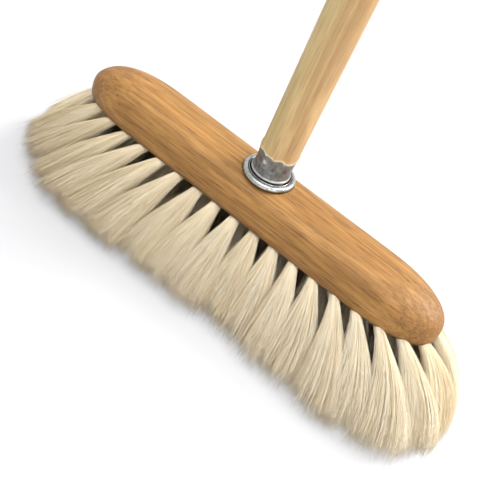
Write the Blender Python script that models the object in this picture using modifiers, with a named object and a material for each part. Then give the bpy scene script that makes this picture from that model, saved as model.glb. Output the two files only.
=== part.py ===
"""Goat hair room broom: an oiled hardwood block set with fanned tufts of soft hair,
a threaded steel socket pressed into its crown, and a turned wooden stick whose
sheet-metal ferrule screws into that socket.

The broom stands on its hair. The origin is on the floor under the middle of the
block, +X runs along the block, +Y to the back and +Z up the stick.
All sizes are in metres.
"""

import math

import bmesh
import bpy
from mathutils import Matrix, Vector

# Overall sizes
HAIR_HEIGHT = 0.060
BLOCK_LENGTH = 0.276
BLOCK_WIDTH = 0.050
BLOCK_HEIGHT = 0.024
STICK_DIAMETER = 0.024
STICK_LENGTH = 1.400

# Clearances: between pieces that touch, and what a cutter runs past a face
FIT_GAP = 0.0003
CUT_OVERRUN = 0.003

# Block: upright edge, chamfer underneath, rounded ends and domed crown
BLOCK_EDGE_HEIGHT = 0.0045
BLOCK_CHAMFER = 0.0010
BLOCK_END_LENGTH = 0.053
PLAN_FULLNESS = 2.31
CROWN_FULLNESS = 2.5
BLOCK_OUTLINE_POINTS = 48
BLOCK_SIDE_SHARES = (0.85, 0.54, 0.28, -0.28, -0.54, -0.85)
CROWN_STEPS = 8
CROWN_LAST_TURN = math.radians(87.5)

# Rolled thread shared by the socket and the ferrule
THREAD_PITCH = 0.004
THREAD_SWELL = 0.0006
THREAD_CLEARANCE = 0.00075
THREAD_RUN_OUT = 0.0020
THREAD_ROWS_PER_PITCH = 5
SHEET_THICKNESS = 0.0008

# Socket pressed into the crown, with a rolled flange
SOCKET_DEPTH = 0.0136
SOCKET_FLOOR_HOLE_RADIUS = 0.0060
FLANGE_REACH = 0.0039
FLANGE_ROLL_RADIUS = 0.0019
FLANGE_ROLL_START = math.radians(-60)
FLANGE_ROLL_END = math.radians(120)
FLANGE_SINK = 0.0010
FLANGE_VALLEY_DEPTH = 0.0008
MOUTH_RIM_WIDTH = 0.0009
MOUTH_DEPTH = 0.0022

# Ferrule on the end of the stick
FERRULE_STEP = 0.0002
FERRULE_THREAD_STEP = 0.00095
FERRULE_BEAD_RADIUS = 0.0009
FERRULE_BEAD_SEAT = 0.0007
FERRULE_SKIRT_HEIGHT = 0.0136
CRIMP_LOBES = 5
CRIMP_HEIGHT = 0.0005
CRIMP_TURN = math.radians(-56)

# Stick
STICK_END_ROUNDING = 0.0100
STICK_CHAMFER = 0.0006
STICK_TOP_STEPS = 6

# Tufts: rows, holes and roots
OUTER_TUFTS = 38
INNER_TUFTS = 17
OUTER_STRANDS = 8
INNER_STRANDS = 7
ROOT_RADIUS = 0.0039
ROOT_STAND = 0.0015
OUTER_ROW_INSET = 0.0070
INNER_ROW_OFFSET = 0.0050
INNER_ROW_INSET = 0.0300
SOCKET_WEB = 0.0022
HOLE_TILT = math.radians(18)

# Tufts: how far the tips flare past the roots, and how each bundle opens
SIDE_FLARE = 0.026
END_FLARE = 0.047
SKIRT_END_LENGTH = 0.085
SKIRT_FULLNESS = 2.4
INNER_SIDE_FLARE = 0.011
INNER_END_FLARE = 0.036
TIP_HALF_DEPTH = 0.0075
INNER_TIP_HALF_DEPTH = 0.0085
TIP_TRIM = 0.0005
ROW_FILL_SHARE = 0.86
BOW_OUT_SHARE = 0.62
BOW_DOWN_SHARE = 0.45
OUTER_STATION_SHARES = (0.35, 0.75, 1.0)
OUTER_SPREAD_SHARES = (0.45, 0.85, 1.0)
OUTER_GIRTH_SHARES = (1.65, 1.6, 0.45)
INNER_STATION_SHARES = (0.55, 1.0)
INNER_SPREAD_SHARES = (0.65, 1.0)
INNER_GIRTH_SHARES = (1.8, 0.45)

# How finely curves are drawn
TURN_STEPS = 28
ROLL_STEPS = 6
BEAD_STEPS = 5
RING_SAMPLES = 1440
SHARP_ANGLE = math.radians(35)
SECTOR_FACING_SHARE = 0.9
MERGE_DISTANCE = 0.00001

# Heights and radii worked out from the sizes above
CROWN_Z = HAIR_HEIGHT + BLOCK_HEIGHT
INNER_ROW_HALF_LENGTH = BLOCK_LENGTH / 2 - INNER_ROW_INSET
STICK_RADIUS = STICK_DIAMETER / 2
FERRULE_THREAD_RADIUS = STICK_RADIUS - FERRULE_THREAD_STEP
SOCKET_THREAD_RADIUS = FERRULE_THREAD_RADIUS + THREAD_CLEARANCE
SOCKET_WALL_RADIUS = SOCKET_THREAD_RADIUS + THREAD_SWELL + SHEET_THICKNESS
SOCKET_BORE_RADIUS = SOCKET_WALL_RADIUS + FIT_GAP
FLANGE_ROLL_CENTRE = SOCKET_WALL_RADIUS + FLANGE_REACH - FLANGE_ROLL_RADIUS
FLANGE_BOTTOM_Z = CROWN_Z - FLANGE_SINK
FLANGE_TOP_Z = FLANGE_BOTTOM_Z + 2 * FLANGE_ROLL_RADIUS
MOUTH_RADIUS = SOCKET_THREAD_RADIUS + THREAD_SWELL
SOCKET_BOTTOM_Z = CROWN_Z - SOCKET_DEPTH + FIT_GAP
SOCKET_FLOOR_Z = SOCKET_BOTTOM_Z + SHEET_THICKNESS
FERRULE_BOTTOM_Z = SOCKET_FLOOR_Z + FIT_GAP
FERRULE_INNER_RADIUS = FERRULE_THREAD_RADIUS - THREAD_SWELL - SHEET_THICKNESS
SKIRT_RADIUS = STICK_RADIUS - FERRULE_STEP
SKIRT_INNER_RADIUS = SKIRT_RADIUS - SHEET_THICKNESS
BEAD_Z = FLANGE_TOP_Z + FERRULE_BEAD_SEAT + FIT_GAP
BEAD_TOP_Z = BEAD_Z + FERRULE_BEAD_RADIUS
CONE_TOP_Z = BEAD_Z - FERRULE_BEAD_RADIUS
CONE_BOTTOM_Z = CONE_TOP_Z - 2 * SHEET_THICKNESS
SKIRT_TOP_Z = BEAD_TOP_Z + FERRULE_SKIRT_HEIGHT
SHOULDER_Z = SKIRT_TOP_Z + CRIMP_HEIGHT + FIT_GAP
STICK_BOTTOM_Z = FERRULE_BOTTOM_Z + SHEET_THICKNESS
STICK_TOP_Z = STICK_BOTTOM_Z + STICK_LENGTH
CORE_RADIUS = FERRULE_INNER_RADIUS - FIT_GAP
TENON_RADIUS = SKIRT_INNER_RADIUS - FIT_GAP
HOLE_DEPTH = BLOCK_HEIGHT - SOCKET_DEPTH - SOCKET_WEB


def clear_scene():
    """Remove every object, so that the model starts from an empty scene."""
    for old in list(bpy.data.objects):
        bpy.data.objects.remove(old, do_unlink=True)


def new_collection(name):
    collection = bpy.data.collections.new(name)
    bpy.context.scene.collection.children.link(collection)
    return collection


def new_material(name, colour, roughness, metallic=0.0):
    """A Principled material with the part's colour, roughness and metallic value."""
    material = bpy.data.materials.new(name)
    material.use_nodes = True
    shader = material.node_tree.nodes["Principled BSDF"]
    shader.inputs["Base Color"].default_value = (*colour, 1.0)
    shader.inputs["Roughness"].default_value = roughness
    shader.inputs["Metallic"].default_value = metallic
    material.diffuse_color = (*colour, 1.0)
    return material


def object_from_bmesh(name, bm, collection, material=None, smooth=True):
    """Turn a bmesh into a named object with its faces pointing out."""
    bmesh.ops.recalc_face_normals(bm, faces=bm.faces[:])
    mesh = bpy.data.meshes.new(name)
    bm.to_mesh(mesh)
    bm.free()
    if material:
        mesh.materials.append(material)
    if smooth:
        mesh.shade_smooth()
        mesh.set_sharp_from_angle(angle=SHARP_ANGLE)
    thing = bpy.data.objects.new(name, mesh)
    collection.objects.link(thing)
    return thing


def make_cutter(thing):
    thing.hide_render = True
    thing.display_type = "WIRE"
    return thing


def cut(thing, cutter):
    """Cut one object out of another with a Boolean that stays on the object."""
    boolean = thing.modifiers.new(cutter.name, "BOOLEAN")
    boolean.operation = "DIFFERENCE"
    boolean.solver = "EXACT"
    boolean.object = cutter


def oval_point(angle, half_length, half_width, end_length, fullness):
    """Point of an oval that has straight sides and superellipse ends."""
    power = 2 / fullness
    along = abs(math.cos(angle)) ** power * end_length + half_length - end_length
    across = abs(math.sin(angle)) ** power * half_width
    along = math.copysign(along, math.cos(angle))
    return Vector((along, math.copysign(across, math.sin(angle)), 0))


def oval_stations(count, half_length, half_width, end_length, fullness):
    """Evenly spaced points round an oval, each with its unit tangent."""
    step = 2 * math.pi / RING_SAMPLES
    points = [
        oval_point(i * step, half_length, half_width, end_length, fullness)
        for i in range(RING_SAMPLES + 1)
    ]
    reach = [0.0]
    for before, after in zip(points, points[1:]):
        reach.append(reach[-1] + (after - before).length)
    stations = []
    k = 0
    for i in range(count):
        wanted = (i + 0.5) / count * reach[-1]
        while reach[k + 1] < wanted:
            k += 1
        share = (wanted - reach[k]) / (reach[k + 1] - reach[k])
        tangent = (points[k + 1] - points[k]).normalized()
        stations.append((points[k].lerp(points[k + 1], share), tangent))
    return stations, reach[-1] / count


def loft(bm, rings):
    """Join rings of equal length with quads and close the first and the last."""
    verts = [[bm.verts.new(point) for point in ring] for ring in rings]
    count = len(verts[0])
    for lower, upper in zip(verts, verts[1:]):
        for i in range(count):
            j = (i + 1) % count
            bm.faces.new((lower[i], lower[j], upper[j], upper[i]))
    bm.faces.new(reversed(verts[0]))
    bm.faces.new(verts[-1])


def block_ring(inset_share, height, trim=0.0):
    """One level of the block; the dome draws its sides and ends in alike."""
    step = 2 * math.pi / BLOCK_OUTLINE_POINTS
    end_length = BLOCK_END_LENGTH * inset_share - trim
    straight = BLOCK_LENGTH / 2 - BLOCK_END_LENGTH
    half_width = BLOCK_WIDTH / 2 * inset_share - trim
    end = []
    for i in range(BLOCK_OUTLINE_POINTS // 2):
        angle = (i + 0.5) * step - math.pi / 2
        end.append(oval_point(angle, straight + end_length, half_width, end_length, PLAN_FULLNESS))
    side = [Vector((share * straight, half_width, 0)) for share in BLOCK_SIDE_SHARES]
    half = end + side
    lift = Vector((0, 0, height))
    return [point + lift for point in half] + [lift - point for point in half]


def build_block(collection, cutters, material, holes):
    """Domed block with an upright edge, a socket bore and a blind hole for each tuft."""
    bottom = HAIR_HEIGHT
    rings = [
        block_ring(1.0, bottom, BLOCK_CHAMFER),
        block_ring(1.0, bottom + BLOCK_CHAMFER),
        block_ring(1.0, bottom + BLOCK_EDGE_HEIGHT),
    ]
    rise = BLOCK_HEIGHT - BLOCK_EDGE_HEIGHT
    power = 2 / CROWN_FULLNESS
    for i in range(1, CROWN_STEPS + 1):
        turn = CROWN_LAST_TURN * i / CROWN_STEPS
        lift = rise * (math.sin(turn) / math.sin(CROWN_LAST_TURN)) ** power
        rings.append(block_ring(math.cos(turn) ** power, bottom + BLOCK_EDGE_HEIGHT + lift))
    bm = bmesh.new()
    loft(bm, rings)
    block = object_from_bmesh("block", bm, collection, material)

    bm = bmesh.new()
    for place, axis, around, strands in holes:
        depth = HOLE_DEPTH + CUT_OVERRUN
        centre = place - axis * (HOLE_DEPTH - CUT_OVERRUN) / 2
        bmesh.ops.create_cone(
            bm, cap_ends=True, segments=strands, depth=depth,
            radius1=ROOT_RADIUS + FIT_GAP, radius2=ROOT_RADIUS + FIT_GAP,
            matrix=Matrix.Translation(centre) @ tuft_turn(axis, around),
        )
    cut(block, make_cutter(object_from_bmesh("tuft_hole_cutter", bm, cutters, smooth=False)))

    spot_radius = FLANGE_ROLL_CENTRE + FLANGE_ROLL_RADIUS + FIT_GAP
    profile = [
        (0, CROWN_Z + CUT_OVERRUN),
        (spot_radius, CROWN_Z + CUT_OVERRUN),
        (spot_radius, FLANGE_BOTTOM_Z - FIT_GAP),
        (SOCKET_BORE_RADIUS, FLANGE_BOTTOM_Z - FIT_GAP),
        (SOCKET_BORE_RADIUS, CROWN_Z - SOCKET_DEPTH),
        (0, CROWN_Z - SOCKET_DEPTH),
    ]
    cut(block, make_cutter(turned("socket_cutter", profile, cutters)))
    return block


def turned(name, profile, collection, material=None):
    """Turn a profile of (radius, height) points about the vertical axis."""
    mesh = bpy.data.meshes.new(name)
    points = [(radius, 0, height) for radius, height in profile]
    mesh.from_pydata(points, [(i, i + 1) for i in range(len(points) - 1)], [])
    if material:
        mesh.materials.append(material)
    thing = bpy.data.objects.new(name, mesh)
    collection.objects.link(thing)
    screw = thing.modifiers.new("turn", "SCREW")
    screw.axis = "Z"
    screw.steps = TURN_STEPS
    screw.render_steps = TURN_STEPS
    screw.use_merge_vertices = True
    screw.merge_threshold = MERGE_DISTANCE
    screw.use_smooth_shade = True
    return thing


def spun_sleeve(profile):
    """Spin a closed profile that stays clear of the axis into a sleeve."""
    bm = bmesh.new()
    verts = [bm.verts.new((radius, 0, height)) for radius, height in profile]
    edges = [bm.edges.new((verts[i - 1], verts[i])) for i in range(len(verts))]
    bmesh.ops.spin(
        bm, geom=verts + edges, cent=(0, 0, 0), axis=(0, 0, 1),
        angle=2 * math.pi, steps=TURN_STEPS, use_merge=True,
    )
    return bm


def thread_heights(low, high):
    """Heights of the rows of points that carry a thread between two levels."""
    rows = round((high - low) / THREAD_PITCH * THREAD_ROWS_PER_PITCH)
    return [low + (high - low) * i / rows for i in range(rows + 1)]


def roll_thread(bm, mean_radius, low, high, fade_side):
    """Swell the plain wall at mean_radius into a rolled right-hand thread.

    The swell follows the same helix on every piece. Near both ends it fades to the
    wall's outer limit where fade_side is 1, and to its inner limit where it is -1.
    """
    for vert in bm.verts:
        radius = math.hypot(vert.co.x, vert.co.y)
        if abs(radius - mean_radius) > MERGE_DISTANCE:
            continue
        if not low - MERGE_DISTANCE < vert.co.z < high + MERGE_DISTANCE:
            continue
        inside = min(vert.co.z - low, high - vert.co.z) / THREAD_RUN_OUT
        weight = max(0.0, min(1.0, inside))
        around = math.atan2(vert.co.y, vert.co.x)
        wave = math.cos(2 * math.pi * (vert.co.z - CROWN_Z) / THREAD_PITCH - around)
        swelled = mean_radius + THREAD_SWELL * (wave * weight + fade_side * (1 - weight))
        vert.co.x *= swelled / radius
        vert.co.y *= swelled / radius


def arc(centre_radius, centre_height, radius, start, end, steps):
    """Points of an arc in a turned profile, from one angle to another."""
    points = []
    for i in range(steps + 1):
        angle = start + (end - start) * i / steps
        points.append(
            (centre_radius + radius * math.cos(angle), centre_height + radius * math.sin(angle))
        )
    return points


def build_socket(collection, material):
    """Pressed steel socket: rolled flange, raised mouth, threaded wall and a lip below."""
    thread_low = SOCKET_FLOOR_Z
    thread_high = FLANGE_TOP_Z - MOUTH_DEPTH
    roll_z = FLANGE_BOTTOM_Z + FLANGE_ROLL_RADIUS
    rim_outer = MOUTH_RADIUS + 2 * MOUTH_RIM_WIDTH
    profile = [
        (SOCKET_FLOOR_HOLE_RADIUS, SOCKET_FLOOR_Z),
        (SOCKET_FLOOR_HOLE_RADIUS, SOCKET_BOTTOM_Z),
        (SOCKET_WALL_RADIUS, SOCKET_BOTTOM_Z),
        (SOCKET_WALL_RADIUS, FLANGE_BOTTOM_Z),
        (FLANGE_ROLL_CENTRE, FLANGE_BOTTOM_Z),
    ]
    profile += arc(
        FLANGE_ROLL_CENTRE, roll_z, FLANGE_ROLL_RADIUS,
        FLANGE_ROLL_START, FLANGE_ROLL_END, ROLL_STEPS,
    )
    profile += [
        (rim_outer, FLANGE_TOP_Z - FLANGE_VALLEY_DEPTH),
        (rim_outer - MOUTH_RIM_WIDTH / 2, FLANGE_TOP_Z),
        (rim_outer - MOUTH_RIM_WIDTH, FLANGE_TOP_Z),
        (MOUTH_RADIUS + MOUTH_RIM_WIDTH / 2, FLANGE_TOP_Z - MOUTH_DEPTH / 3),
    ]
    heights = thread_heights(thread_low, thread_high)
    profile += [(SOCKET_THREAD_RADIUS, height) for height in reversed(heights)]
    bm = spun_sleeve(profile)
    roll_thread(bm, SOCKET_THREAD_RADIUS, thread_low, thread_high, 1)
    return object_from_bmesh("threaded_socket", bm, collection, material)


def build_ferrule(collection, material):
    """Sheet-metal ferrule: threaded sleeve, rolled bead and skirt with a crimped top edge."""
    thread_low = FERRULE_BOTTOM_Z
    thread_high = CONE_BOTTOM_Z
    heights = thread_heights(thread_low, thread_high)
    profile = [(FERRULE_THREAD_RADIUS, height) for height in heights]
    quarter = math.pi / 2
    profile += arc(SKIRT_RADIUS, BEAD_Z, FERRULE_BEAD_RADIUS, -quarter, quarter, BEAD_STEPS)
    profile += [
        (SKIRT_RADIUS, SKIRT_TOP_Z - SHEET_THICKNESS / 2),
        (SKIRT_RADIUS - SHEET_THICKNESS / 2, SKIRT_TOP_Z),
        (SKIRT_INNER_RADIUS, SKIRT_TOP_Z - SHEET_THICKNESS / 2),
        (SKIRT_INNER_RADIUS, BEAD_Z),
        (FERRULE_INNER_RADIUS, CONE_BOTTOM_Z),
        (FERRULE_INNER_RADIUS, FERRULE_BOTTOM_Z),
    ]
    bm = spun_sleeve(profile)
    roll_thread(bm, FERRULE_THREAD_RADIUS, thread_low, thread_high, -1)
    for vert in bm.verts:
        if vert.co.z > SKIRT_TOP_Z - SHEET_THICKNESS:
            around = math.atan2(vert.co.y, vert.co.x) - CRIMP_TURN
            lobe = abs(math.sin(CRIMP_LOBES * around / 2))
            vert.co.z += CRIMP_HEIGHT * (1 - 2 * lobe)
    return object_from_bmesh("ferrule", bm, collection, material)


def build_stick(collection, material):
    """Turned stick: round top, shoulder over the ferrule, tenon and threaded-end core."""
    profile = [(0, STICK_TOP_Z)]
    profile += arc(
        STICK_RADIUS - STICK_END_ROUNDING, STICK_TOP_Z - STICK_END_ROUNDING,
        STICK_END_ROUNDING, math.pi / 2, 0, STICK_TOP_STEPS,
    )
    profile += [
        (STICK_RADIUS, SHOULDER_Z + STICK_CHAMFER),
        (STICK_RADIUS - STICK_CHAMFER, SHOULDER_Z),
        (TENON_RADIUS, SHOULDER_Z),
        (TENON_RADIUS, BEAD_Z + FIT_GAP),
        (CORE_RADIUS, CONE_BOTTOM_Z + FIT_GAP),
        (CORE_RADIUS, STICK_BOTTOM_Z + STICK_CHAMFER),
        (CORE_RADIUS - STICK_CHAMFER, STICK_BOTTOM_Z),
        (0, STICK_BOTTOM_Z),
    ]
    return turned("handle_stick", profile, collection, material)


def tuft_turn(axis, around):
    """Rotation that lays a primitive's +Z on the hole's axis and its +X along the row."""
    side = axis.cross(around).normalized()
    along = side.cross(axis).normalized()
    return Matrix((along, side, axis)).transposed().to_4x4()


def tuft_plan():
    """Place, hole axis, row direction and tip of every tuft, row by row."""
    half_length = BLOCK_LENGTH / 2 - OUTER_ROW_INSET
    half_width = BLOCK_WIDTH / 2 - OUTER_ROW_INSET
    end_length = BLOCK_END_LENGTH - OUTER_ROW_INSET
    roots, _ = oval_stations(OUTER_TUFTS, half_length, half_width, end_length, PLAN_FULLNESS)
    tips, tip_pitch = oval_stations(
        OUTER_TUFTS, half_length + END_FLARE, half_width + SIDE_FLARE,
        SKIRT_END_LENGTH, SKIRT_FULLNESS,
    )
    underside = Vector((0, 0, HAIR_HEIGHT))
    plan = []
    for number, ((root, along), (tip, tip_along)) in enumerate(zip(roots, tips), start=1):
        outward = (tip - root).normalized()
        down = Vector((0, 0, -math.cos(HOLE_TILT)))
        plan.append({
            "name": f"outer_tuft_{number:02d}",
            "root": root + underside,
            "axis": outward * math.sin(HOLE_TILT) + down,
            "along": along,
            "tip": tip,
            "tip_along": tip_along,
            "strands": OUTER_STRANDS,
            "half_row": tip_pitch / 2 * ROW_FILL_SHARE,
            "half_depth": TIP_HALF_DEPTH,
            "stations": OUTER_STATION_SHARES,
            "spreads": OUTER_SPREAD_SHARES,
            "girths": OUTER_GIRTH_SHARES,
        })
    row_pitch = 2 * INNER_ROW_HALF_LENGTH / (INNER_TUFTS - 1)
    stretch = 1 + INNER_END_FLARE / INNER_ROW_HALF_LENGTH
    for number in range(INNER_TUFTS):
        side = 1 if number % 2 else -1
        root = Vector((number * row_pitch - INNER_ROW_HALF_LENGTH, side * INNER_ROW_OFFSET, 0))
        tip = Vector((root.x * stretch, root.y + side * INNER_SIDE_FLARE, 0))
        plan.append({
            "name": f"inner_tuft_{number + 1:02d}",
            "root": root + underside,
            "axis": Vector((0, 0, -1)),
            "along": Vector((1, 0, 0)),
            "tip": tip,
            "tip_along": Vector((1, 0, 0)),
            "strands": INNER_STRANDS,
            "half_row": row_pitch * stretch / 2 * ROW_FILL_SHARE,
            "half_depth": INNER_TIP_HALF_DEPTH,
            "stations": INNER_STATION_SHARES,
            "spreads": INNER_SPREAD_SHARES,
            "girths": INNER_GIRTH_SHARES,
        })
    return plan


def bowed(start, tip, share):
    """Point on a tuft's middle line, which leaves the root leaning out and then droops."""
    reach = tip - start
    bend = start + Vector(
        (reach.x * BOW_OUT_SHARE, reach.y * BOW_OUT_SHARE, reach.z * BOW_DOWN_SHARE)
    )
    return start.lerp(bend, share).lerp(bend.lerp(tip, share), share)


def build_tuft(tuft, collection, material):
    """Tuft: a round root for its hole, split below into tapering three-sided strands.

    Each sector of the root's end grows into one strand. Its sections keep their
    place in the bundle as the bundle opens, so no two strands cross.
    """
    axis = tuft["axis"]
    root_length = HOLE_DEPTH - FIT_GAP + ROOT_STAND
    start = axis * ROOT_STAND
    turn = tuft_turn(axis, tuft["along"])
    bm = bmesh.new()
    bmesh.ops.create_cone(
        bm, cap_ends=True, cap_tris=True, segments=tuft["strands"], depth=root_length,
        radius1=ROOT_RADIUS, radius2=ROOT_RADIUS,
        matrix=Matrix.Translation(start - axis * root_length / 2) @ turn,
    )
    bmesh.ops.recalc_face_normals(bm, faces=bm.faces[:])
    sectors = [face for face in bm.faces if face.normal.dot(axis) > SECTOR_FACING_SHARE]

    floor = -tuft["root"].z
    tip = tuft["tip"] - tuft["root"]
    tip.z = floor - TIP_TRIM
    half_sector = math.pi / tuft["strands"]
    middle = ROOT_RADIUS * 2 / 3 * math.cos(half_sector)
    tip_girth = tuft["girths"][-1] * (ROOT_RADIUS - middle)
    row_spread = (tuft["half_row"] - tip_girth) / middle
    depth_spread = (tuft["half_depth"] - tip_girth) / middle
    to_root = turn.to_3x3().inverted()

    for sector in sectors:
        flat = [to_root @ (vert.co - start) for vert in sector.verts]
        centre = sum(flat, Vector()) / len(flat)
        corners = [point - centre for point in flat]
        face = sector
        for share, spread, girth in zip(tuft["stations"], tuft["spreads"], tuft["girths"]):
            grown = bmesh.ops.extrude_discrete_faces(bm, faces=[face])
            face = grown["faces"][0]
            place = bowed(start, tip, share)
            along = tuft["along"].lerp(tuft["tip_along"], share).normalized()
            out = Vector((0, 0, -1)).cross(along)
            row = centre.x * (1 + (row_spread - 1) * spread)
            depth = centre.y * (1 + (depth_spread - 1) * spread)
            for vert, corner in zip(face.verts, corners):
                vert.co = place + along * (row + corner.x * girth) + out * (depth + corner.y * girth)

    trimmed = bmesh.ops.bisect_plane(
        bm, geom=bm.verts[:] + bm.edges[:] + bm.faces[:], dist=MERGE_DISTANCE / 10,
        plane_co=(0, 0, floor), plane_no=(0, 0, -1), clear_outer=True,
    )
    rims = [item for item in trimmed["geom_cut"] if isinstance(item, bmesh.types.BMEdge)]
    bmesh.ops.holes_fill(bm, edges=rims, sides=4)
    thing = object_from_bmesh(tuft["name"], bm, collection, material, smooth=False)
    thing.location = tuft["root"]
    return thing


def main():
    clear_scene()
    parts = new_collection("goat_hair_broom")
    cutters = new_collection("cutters")
    block_wood = new_material("oiled_block_wood", (0.52, 0.27, 0.10), 0.42)
    stick_wood = new_material("waxed_stick_wood", (0.62, 0.42, 0.21), 0.50)
    bright_steel = new_material("bright_steel", (0.62, 0.63, 0.62), 0.25, 1.0)
    dull_steel = new_material("galvanised_steel", (0.36, 0.35, 0.36), 0.50, 1.0)
    hair = new_material("goat_hair", (0.72, 0.62, 0.44), 0.70)

    plan = tuft_plan()
    holes = [(tuft["root"], tuft["axis"], tuft["along"], tuft["strands"]) for tuft in plan]
    build_block(parts, cutters, block_wood, holes)
    build_socket(parts, bright_steel)
    build_ferrule(parts, dull_steel)
    build_stick(parts, stick_wood)
    for tuft in plan:
        build_tuft(tuft, parts, hair)


main()
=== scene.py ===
"""Looks of the goat hair broom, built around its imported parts.

The parts' frame is used throughout: metres, origin on the floor under the middle of
the block, +X along the block, -Y on the camera's side and +Z up the stick.
"""

from math import atan2, copysign, cos, degrees, exp, hypot, pi, radians, sin, sqrt, tau
from types import SimpleNamespace

import bmesh
import bpy
import numpy as np
from mathutils import Matrix, Vector, noise


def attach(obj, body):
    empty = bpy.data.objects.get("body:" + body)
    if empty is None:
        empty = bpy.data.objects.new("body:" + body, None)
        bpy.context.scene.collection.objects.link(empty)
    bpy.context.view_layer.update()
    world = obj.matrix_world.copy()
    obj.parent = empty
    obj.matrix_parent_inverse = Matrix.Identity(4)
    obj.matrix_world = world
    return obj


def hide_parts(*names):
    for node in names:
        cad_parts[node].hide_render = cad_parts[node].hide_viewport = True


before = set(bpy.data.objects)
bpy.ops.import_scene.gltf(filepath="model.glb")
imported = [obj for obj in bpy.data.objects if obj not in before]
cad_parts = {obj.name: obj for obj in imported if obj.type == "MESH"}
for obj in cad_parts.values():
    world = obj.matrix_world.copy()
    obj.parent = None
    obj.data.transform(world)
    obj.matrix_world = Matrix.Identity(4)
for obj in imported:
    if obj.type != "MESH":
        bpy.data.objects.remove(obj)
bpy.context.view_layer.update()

# Sizes that the parts' solids have too
HAIR_HEIGHT = 0.060
BLOCK_LENGTH = 0.276
BLOCK_WIDTH = 0.050
BLOCK_HEIGHT = 0.024
STICK_RADIUS = 0.012
STICK_LENGTH = 1.400
FIT_GAP = 0.0003
CUT_OVERRUN = 0.003
BLOCK_EDGE_HEIGHT = 0.0045
BLOCK_CHAMFER = 0.0010
BLOCK_END_LENGTH = 0.053
PLAN_FULLNESS = 2.31
CROWN_FULLNESS = 2.5
THREAD_PITCH = 0.004
THREAD_SWELL = 0.0006
THREAD_CLEARANCE = 0.00075
THREAD_RUN_OUT = 0.0020
SHEET_THICKNESS = 0.0008
SOCKET_DEPTH = 0.0136
SOCKET_FLOOR_HOLE_RADIUS = 0.0060
FLANGE_REACH = 0.0039
FLANGE_ROLL_RADIUS = 0.0019
FLANGE_SINK = 0.0010
FLANGE_VALLEY_DEPTH = 0.0008
MOUTH_RIM_WIDTH = 0.0009
MOUTH_DEPTH = 0.0022
FERRULE_STEP = 0.0002
FERRULE_THREAD_STEP = 0.00095
FERRULE_BEAD_RADIUS = 0.0009
FERRULE_BEAD_SEAT = 0.0007
FERRULE_SKIRT_HEIGHT = 0.0136
STICK_END_ROUNDING = 0.0100
STICK_CHAMFER = 0.0006
OUTER_TUFTS = 38
INNER_TUFTS = 17
ROOT_RADIUS = 0.0039
OUTER_ROW_INSET = 0.0070
INNER_ROW_OFFSET = 0.0050
INNER_ROW_HALF_LENGTH = 0.1080
HOLE_TILT = radians(18)
HOLE_DEPTH = 0.0082
SIDE_FLARE = 0.026
END_FLARE = 0.047
SKIRT_END_LENGTH = 0.085
SKIRT_FULLNESS = 2.4
INNER_SIDE_FLARE = 0.011
INNER_END_FLARE = 0.036
CROWN_Z = HAIR_HEIGHT + BLOCK_HEIGHT
FERRULE_THREAD_RADIUS = STICK_RADIUS - FERRULE_THREAD_STEP
SOCKET_THREAD_RADIUS = FERRULE_THREAD_RADIUS + THREAD_CLEARANCE
SOCKET_WALL_RADIUS = SOCKET_THREAD_RADIUS + THREAD_SWELL + SHEET_THICKNESS
FLANGE_ROLL_CENTRE = SOCKET_WALL_RADIUS + FLANGE_REACH - FLANGE_ROLL_RADIUS
FLANGE_BOTTOM_Z = CROWN_Z - FLANGE_SINK
FLANGE_TOP_Z = FLANGE_BOTTOM_Z + 2 * FLANGE_ROLL_RADIUS
MOUTH_RADIUS = SOCKET_THREAD_RADIUS + THREAD_SWELL
SOCKET_BOTTOM_Z = CROWN_Z - SOCKET_DEPTH + FIT_GAP
SOCKET_FLOOR_Z = SOCKET_BOTTOM_Z + SHEET_THICKNESS
FERRULE_BOTTOM_Z = SOCKET_FLOOR_Z + FIT_GAP
FERRULE_INNER_RADIUS = FERRULE_THREAD_RADIUS - THREAD_SWELL - SHEET_THICKNESS
SKIRT_RADIUS = STICK_RADIUS - FERRULE_STEP
SKIRT_INNER_RADIUS = SKIRT_RADIUS - SHEET_THICKNESS
BEAD_Z = FLANGE_TOP_Z + FERRULE_BEAD_SEAT + FIT_GAP
BEAD_TOP_Z = BEAD_Z + FERRULE_BEAD_RADIUS
CONE_TOP_Z = BEAD_Z - FERRULE_BEAD_RADIUS
CONE_BOTTOM_Z = CONE_TOP_Z - 2 * SHEET_THICKNESS
STICK_BOTTOM_Z = FERRULE_BOTTOM_Z + SHEET_THICKNESS
STICK_TOP_Z = STICK_BOTTOM_Z + STICK_LENGTH
CORE_RADIUS = FERRULE_INNER_RADIUS - FIT_GAP
TENON_RADIUS = SKIRT_INNER_RADIUS - FIT_GAP

# How many points and steps draw the block
END_POINTS = 72
SIDE_POINTS = 33
EDGE_STEPS = 3
CROWN_STEPS = 30

# The ferrule's crimped upper edge: direction round the stick in degrees, height over
# the crown in metres
CRIMPED_EDGE = (
    (-180, 0.0172), (-172, 0.0180), (-164, 0.0200), (-159, 0.0196), (-152, 0.0176),
    (-144, 0.0169), (-130, 0.0182), (-113, 0.0190), (-107, 0.0180), (-103, 0.0177),
    (-95, 0.0182), (-86, 0.0184), (-78, 0.0179), (-73, 0.0176), (-66, 0.0183),
    (-56, 0.0193), (-51, 0.0190), (-44, 0.0177), (-30, 0.0170), (-14, 0.0168),
    (2, 0.0170), (12, 0.0182), (20, 0.0200), (28, 0.0184), (40, 0.0174),
    (60, 0.0186), (80, 0.0173), (100, 0.0184), (120, 0.0172), (140, 0.0188),
    (160, 0.0174), (180, 0.0172),
)
# Its two raised tongues, in degrees, and the punched dimple below it
SPIKES = (-162, 20)
SPIKE_HALF_WIDTH = 11
SPIKE_FLARE = 0.0009
DIMPLE_TURN = radians(-98)
DIMPLE_Z = CROWN_Z + 0.0138
DIMPLE_RADIUS = 0.0011
DIMPLE_DEPTH = 0.0007

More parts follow.
